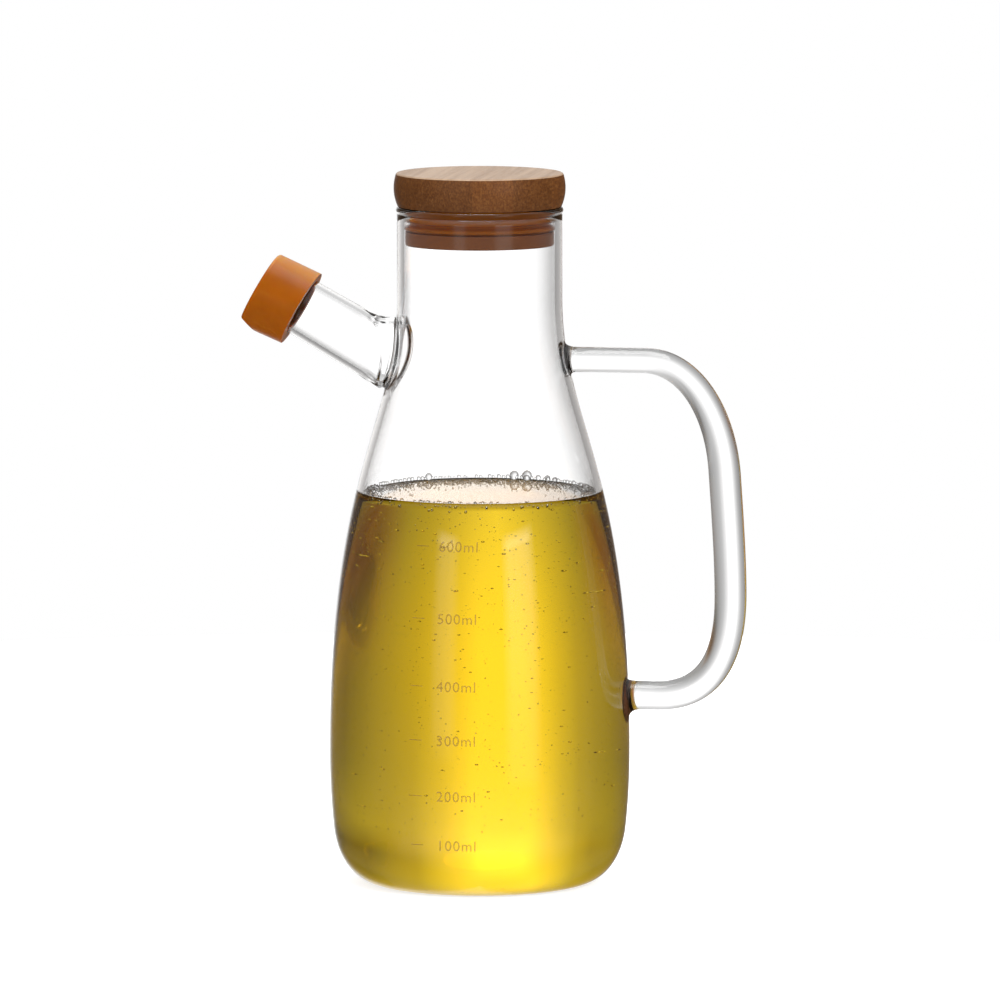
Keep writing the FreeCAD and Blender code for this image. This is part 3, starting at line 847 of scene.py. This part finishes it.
def bamboo_material():
    """Pressed bamboo: strips of unlike tone, fibres along Y, with painted light that makes the plug
    brighter and redder, and a painted sheen that makes the lid's top paler.
    """
    made, graph, shader = material("bamboo", Specular_IOR_Level=0.3)
    turned = graph.place(turn=GRAIN_TURN)
    x, _, z = graph.split(turned)
    strip = graph.math("FLOOR", graph.math("MULTIPLY_ADD", x, 1 / (STRIP_WIDTH * MM), 0.35))
    tone = graph.node("TexWhiteNoise", noise_dimensions="1D")
    graph.plug(tone.inputs["W"], strip)
    fibre = graph.node("TexVoronoi", feature="F1")
    graph.plug(fibre.inputs["Vector"], graph.place((1, 0.05, 1), GRAIN_TURN))
    fibre.inputs["Scale"].default_value = 1700
    grain = graph.noise(graph.place((1, 0.08, 0.6), GRAIN_TURN), 1900, 3, 0.6)
    cloud = graph.noise(turned, 55, 3, 0.55)
    body = graph.ramp(grain, BAMBOO_TONES)
    dots = graph.ramp(fibre.outputs["Distance"], [(0.1, 1.0), (0.5, 0.0)])
    body = graph.blend(graph.math("MULTIPLY", dots, 0.45), body, BAMBOO_DOT)
    shade = graph.math("MULTIPLY", graph.math("MULTIPLY_ADD", tone.outputs[0], 0.45, 0.76),
                       graph.math("MULTIPLY_ADD", cloud, 0.12, 0.94))
    body = graph.blend(1.0, body, graph.ramp(shade, [(0, 0.0), (1, 1.0)]), "MULTIPLY")
    # painted light: brighter and redder below the rim, where the glass neck keeps light from the plug
    plug = graph.math("LESS_THAN", z, RIM_HEIGHT * MM)
    body = graph.blend(graph.math("MULTIPLY", plug, 0.7), body, PLUG_PAINTED_LIGHT)
    # painted sheen: the lid's upper face paler, with streaks along the grain
    face = graph.math("GREATER_THAN", z, LID_TOP * MM)
    streak = graph.noise(graph.place((1, 0.03, 1), GRAIN_TURN), 420, 3, 0.6)
    body = graph.blend(graph.math("MULTIPLY", face, 0.8), body, graph.ramp(streak, LID_TOP_SHEEN_TONES))
    graph.plug(shader.inputs["Base Color"], body)
    graph.plug(shader.inputs["Roughness"], graph.math("MULTIPLY_ADD", grain, 0.25, 0.3))
    graph.plug(shader.inputs["Normal"], graph.bump(graph.math("ADD", dots, grain), 0.18, 0.0003))
    return made


def clear_silicone_material():
    """Golden against the plug, with a soft ripple."""
    made, graph, shader = material("clear_silicone", Base_Color=(0.72, 0.19, 0.0, 1), Roughness=0.12,
                                   IOR=1.41, Transmission_Weight=0.15, Specular_IOR_Level=0.15)
    haze = graph.noise(graph.place(), 900, 2)
    graph.plug(shader.inputs["Normal"], graph.bump(haze, 0.05, 0.0002))
    return made


CAP_PAINTED_TOP_LIGHT = (0.48, 0.21, 0.065)       # painted highlight: paler where the cap faces up, for the light from above


def amber_silicone_material():
    """Light goes a little way in, and the side that faces up is paler, a painted highlight for the light
    from above.
    """
    made, graph, shader = material("amber_silicone", Roughness=0.3, IOR=1.41, Specular_IOR_Level=0.2,
                                   Subsurface_Weight=0.5, Subsurface_Radius=(1.0, 0.4, 0.05),
                                   Subsurface_Scale=0.005)
    cloud = graph.noise(graph.place(), 90, 3)
    colour = graph.ramp(cloud, [(0.3, (0.245, 0.060, 0.0)), (0.7, (0.285, 0.072, 0.0002))])
    # painted highlight: paler where the normal points up
    _, _, upward = graph.split(graph.node("NewGeometry").outputs["Normal"])
    painted_top_light = graph.ramp(upward, [(0.6, 0.0), (0.95, 1.0)], "EASE")
    graph.plug(shader.inputs["Base Color"], graph.blend(painted_top_light, colour, CAP_PAINTED_TOP_LIGHT))
    fine = graph.noise(graph.place(), 2600, 2)
    graph.plug(shader.inputs["Normal"], graph.bump(fine, 0.12, 0.0001))
    return made


def print_material():
    """Thin brown print that lets the oil show."""
    made, graph, shader = material("scale_print", Roughness=0.6, Alpha=0.55, Specular_IOR_Level=0)
    worn = graph.noise(graph.place(), 1500, 2)
    graph.plug(shader.inputs["Base Color"],
               graph.ramp(worn, [(0.35, (0.14, 0.07, 0.035)), (0.65, (0.20, 0.11, 0.06))]))
    return made


# ---- stage ---------------------------------------------------------------------------------
CAMERA_TURN = math.radians(9)         # the camera stands this far round from -Y towards +X
CAMERA_REACH = 3.2
CAMERA_HEIGHT = 0.485
CAMERA_LENS = 380
AIM_HEIGHT = 0.1174
AIM_ASIDE = 0.0062
SENSOR_WIDTH = 36


def build_camera():
    """A long lens, from a little above the bottle."""
    scene = bpy.context.scene
    scene.view_settings.view_transform = "Standard"
    lens = bpy.data.cameras.new("camera")
    lens.lens = CAMERA_LENS
    lens.sensor_width = SENSOR_WIDTH
    camera = bpy.data.objects.new("camera", lens)
    scene.collection.objects.link(camera)
    right = Vector((math.cos(CAMERA_TURN), math.sin(CAMERA_TURN), 0))
    back = Vector((math.sin(CAMERA_TURN), -math.cos(CAMERA_TURN), 0))
    aside = right * AIM_ASIDE
    camera.location = back * CAMERA_REACH + Vector((0, 0, CAMERA_HEIGHT)) + aside
    target = Vector((0, 0, AIM_HEIGHT)) + aside
    camera.rotation_euler = (target - camera.location).to_track_quat("-Z", "Y").to_euler()
    scene.camera = camera


BRIGHT_TURN = -14                     # middle of the bright card behind, degrees from +Y towards +X
FAR_TURN = 125                        # from here round, the surroundings are plain
CEILING = (0.66, 0.66, 0.66)
# what glass shows of the stage behind: (rise, level, far level, tones), each tone as (degrees to
# either side of the bright turn, share of the level)
SEEN_THROUGH = (
    (-60, 0.25, 0.3, ((-90, 0.6), (0, 1), (90, 0.6))),
    (-45, 0.38, 0.5, ((-90, 0.5), (0, 1), (90, 0.5))),
    (-28, 0.66, 0.9, ((-90, 0.35), (-30, 0.5), (0, 1), (30, 0.5), (90, 0.3))),
    (-19, 1.0, 0.95, ((-90, 0.5), (-62, 0.24), (-45, 0.22), (-28, 0.35), (-17, 0.58), (0, 1),
                      (17, 0.53), (30, 0.31), (43, 0.12), (62, 0.12), (90, 0.5))),
    (-11, 1.28, 0.45, ((-90, 0.36), (-65, 0.18), (-58, 0.16), (-45, 0.21), (-32, 0.29), (-24, 0.39),
                       (-17, 0.58), (-6, 0.99), (5, 1), (15, 0.6), (22, 0.44), (30, 0.33),
                       (43, 0.19), (58, 0.1), (68, 0.12), (90, 0.36))),
    (-2, 1.45, 0.1, ((-90, 0.18), (-58, 0.23), (-45, 0.28), (-32, 0.32), (-24, 0.39), (-17, 0.57),
                     (-8, 0.98), (7, 1), (14, 0.68), (22, 0.43), (30, 0.36), (43, 0.31), (58, 0.24),
                     (90, 0.18))),
    (8, 1.75, 0.1, ((-90, 0.22), (-32, 0.22), (-24, 0.34), (-12, 0.68), (-6, 1), (4, 1), (9, 0.7),
                    (22, 0.29), (42, 0.1), (90, 0.1))),
    (14, 1.4, 0.15, ((-90, 0.25), (-37, 0.29), (-25, 0.43), (-10, 1), (8, 0.9), (22, 0.42), (45, 0.18),
                     (90, 0.15))))
# what it mirrors there, in the same form
MIRRORED = ((0, 1.0, 0.0, ((-90, 0), (-32, 0.01), (-21, 0.08), (-15, 0.3), (-11, 0.7), (-7, 1), (7, 1),
                           (11, 0.7), (15, 0.3), (21, 0.08), (32, 0.01), (90, 0))),)


def from_bright(graph, turned):
    """Degrees from the bright turn, to either side."""
    return graph.math("WRAP", graph.math("SUBTRACT", turned, BRIGHT_TURN), 180, -180)


def round_stage(graph, place, rows):
    """Brightness of the stage in a direction; also that direction's turn and rise in degrees."""
    x, y, z = graph.split(place)
    turned = graph.math("DEGREES", graph.math("ARCTAN2", x, y))
    rise = graph.math("DEGREES", graph.math("ARCSINE", z))
    across = graph.math("MULTIPLY_ADD", from_bright(graph, turned), 1 / 360, 0.5)
    tone, last_rise = None, None
    for row_rise, level, far, tones in rows:
        tones = ((-FAR_TURN, far / level), *tones, (FAR_TURN, far / level))
        stops = [(degrees / 360 + 0.5, brightness) for degrees, brightness in tones]
        row = graph.math("MULTIPLY", graph.ramp(across, stops), level)
        if tone is not None:
            share = graph.math("DIVIDE", graph.math("SUBTRACT", rise, last_rise), row_rise - last_rise,
                               clamp=True)
            row = graph.math("MULTIPLY_ADD", graph.math("SUBTRACT", row, tone), share, tone)
        tone, last_rise = row, row_rise
    ceiling = graph.ramp(z, [(0.27, 0.0), (0.7, 1.0)], "EASE")
    return graph.blend(ceiling, tone, CEILING), turned, rise


def rays(graph):
    """1 for rays let through, mirrored (also 1 for those let through), and from the camera."""
    light = graph.node("LightPath")
    return (light.outputs["Is Transmission Ray"], light.outputs["Is Glossy Ray"],
            light.outputs["Is Camera Ray"])


def choose(graph, share, one, other):
    """One shader where share is 0, the other where it is 1."""
    made = graph.node("MixShader")
    for socket, value in zip(made.inputs, (share, one, other)):
        graph.plug(socket, value)
    return made.outputs[0]


FLOOR_RADIUS = 0.6
FLOOR_COLUMNS = 128
FLOOR_GLOW = 0.7                      # whitens the floor for the camera alone


def build_floor():
    """A white floor with the object's shadow; glass shows the painted surroundings instead."""
    mesh = bpy.data.meshes.new("floor")
    angles = [TAU * k / FLOOR_COLUMNS for k in range(FLOOR_COLUMNS)]
    ring = [(math.cos(angle) * FLOOR_RADIUS, math.sin(angle) * FLOOR_RADIUS, 0) for angle in angles]
    mesh.from_pydata(ring, [], [tuple(range(FLOOR_COLUMNS))])
    floor = bpy.data.objects.new("floor", mesh)
    bpy.context.scene.collection.objects.link(floor)
    made, graph, shader = material("studio_floor", Roughness=1, Specular_IOR_Level=0,
                                   Base_Color=(0.9, 0.9, 0.9, 1))
    through, mirrored, camera = rays(graph)
    glow = graph.node("Emission")
    glow.inputs["Strength"].default_value = FLOOR_GLOW
    lit = graph.node("AddShader")
    graph.plug(lit.inputs[0], shader.outputs[0])
    graph.plug(lit.inputs[1], glow.outputs[0])
    clear = graph.node("BsdfTransparent").outputs[0]
    surface = choose(graph, graph.math("MAXIMUM", through, mirrored), shader.outputs[0], clear)
    surface = choose(graph, camera, surface, lit.outputs[0])
    graph.plug(made.node_tree.nodes["Material Output"].inputs["Surface"], surface)
    mesh.materials.append(made)


AMBIENT = 0.6                         # the world's light on all but glass
LOW_WARMTH = (1.0, 0.5, 0.2)          # tint of the low light to either side
WARM_DARK = (0.16, 0.09, 0.045)       # what glass mirrors beside the bright card
SOFTBOX_COLOUR = (1.0, 0.95, 0.86)
# the dim light in front, as (degrees from -Y towards +X, brightness)
HAZE = ((-45, 0), (-20, 0.08), (10, 0.1), (40, 0.08), (75, 0))
# turn from and to, rise from and to, brightness at the foot and at the top, extra at the tip
SOFTBOXES = ((31, 55, -10, 15, 0.5, 3.0, 4), (-27, -11, -6.5, 15, 0.8, 1.5, 4))


def build_world():
    """White to the camera; glass shows a bright card behind, a pale ceiling and two softboxes."""
    world = bpy.data.worlds.new("studio")
    bpy.context.scene.world = world
    world.use_nodes = True
    world.node_tree.nodes.clear()
    graph = Graph(world.node_tree)
    through, mirrored, camera = rays(graph)
    place = graph.node("TexCoord").outputs["Generated"]

    def light(colour, strength=1.0):
        made = graph.node("Background")
        graph.plug(made.inputs["Color"], (*colour, 1) if isinstance(colour, tuple) else colour)
        graph.plug(made.inputs["Strength"], strength)
        return made.outputs[0]

    behind, turned, rise = round_stage(graph, place, SEEN_THROUGH)
    aside = graph.math("ABSOLUTE", from_bright(graph, turned))
    warm = graph.math("MULTIPLY", graph.window(aside, 38, 100, 20), graph.window(rise, -26, -15, 8))
    behind = graph.blend(warm, behind, graph.blend(1.0, behind, LOW_WARMTH, "MULTIPLY"))
    bright = round_stage(graph, place, MIRRORED)[0]
    reflected = graph.blend(bright, WARM_DARK, WHITE)
    front = graph.math("WRAP", graph.math("SUBTRACT", 180, turned), 180, -180)
    boxes = graph.ramp(graph.math("MULTIPLY_ADD", front, 1 / 360, 0.5),
                       [((degrees + 180) / 360, tone) for degrees, tone in HAZE], "EASE")
    for low, high, foot, top, weak, strong, hot in SOFTBOXES:
        area = graph.math("MULTIPLY", graph.window(front, low, high, 7), graph.window(rise, foot, top, 2.5))
        level = graph.math("MULTIPLY_ADD", graph.math("SUBTRACT", rise, foot),
                           (strong - weak) / (top - foot), weak)
        tip = graph.math("MULTIPLY", graph.window(rise, top - 1, top + 1, 0.8), hot)
        boxes = graph.math("ADD", boxes, graph.math("MULTIPLY", area, graph.math("ADD", level, tip)))
    both = graph.node("AddShader")
    graph.plug(both.inputs[0], light(reflected))
    graph.plug(both.inputs[1], light(SOFTBOX_COLOUR, boxes))
    surface = choose(graph, mirrored, light(WHITE, AMBIENT), both.outputs[0])
    surface = choose(graph, through, surface, light(behind))
    surface = choose(graph, camera, surface, light(WHITE))
    graph.plug(graph.node("OutputWorld").inputs["Surface"], surface)


LAMP_REACH = 1.5
LAMP_AIM = Vector((0, 0, 0.1))


def softbox(name, turn_deg, rise_deg, size, energy, seen):
    """A lamp aimed at the bottle's middle; seen says whether glass mirrors it."""
    lamp = bpy.data.lights.new(name, "AREA")
    lamp.shape = "SQUARE"
    lamp.size = size
    lamp.energy = energy
    holder = bpy.data.objects.new(name, lamp)
    bpy.context.scene.collection.objects.link(holder)
    turned, rise = math.radians(turn_deg), math.radians(rise_deg)
    away = Vector((math.sin(turned) * math.cos(rise), -math.cos(turned) * math.cos(rise), math.sin(rise)))
    holder.location = LAMP_AIM + away * LAMP_REACH
    holder.rotation_euler = (-away).to_track_quat("-Z", "Y").to_euler()
    holder.visible_glossy = seen
    holder.visible_transmission = seen


def build_lamps():
    softbox("key_light", 44, 18, 0.8, 12, False)
    softbox("fill_light", -30, 15, 0.8, 6, False)
    softbox("top_light", 0, 82, 0.9, 14, True)


build_camera()
build_floor()
build_world()
build_lamps()
give(build_glass(), glass_material())
give(build_oil(), oil_material())
give(build_foam(), bubble_material("foam_film", 1.3))
give(build_fine_foam(), bubble_material("fine_foam_film", 1.3))
give(build_air_bubbles(), bubble_material("air_in_oil", 1.47))
give(build_scale(), print_material())
give(nodes["stopper"], bamboo_material())
give(nodes["seal_ring"], clear_silicone_material())
give(nodes["spout_cap"], amber_silicone_material())
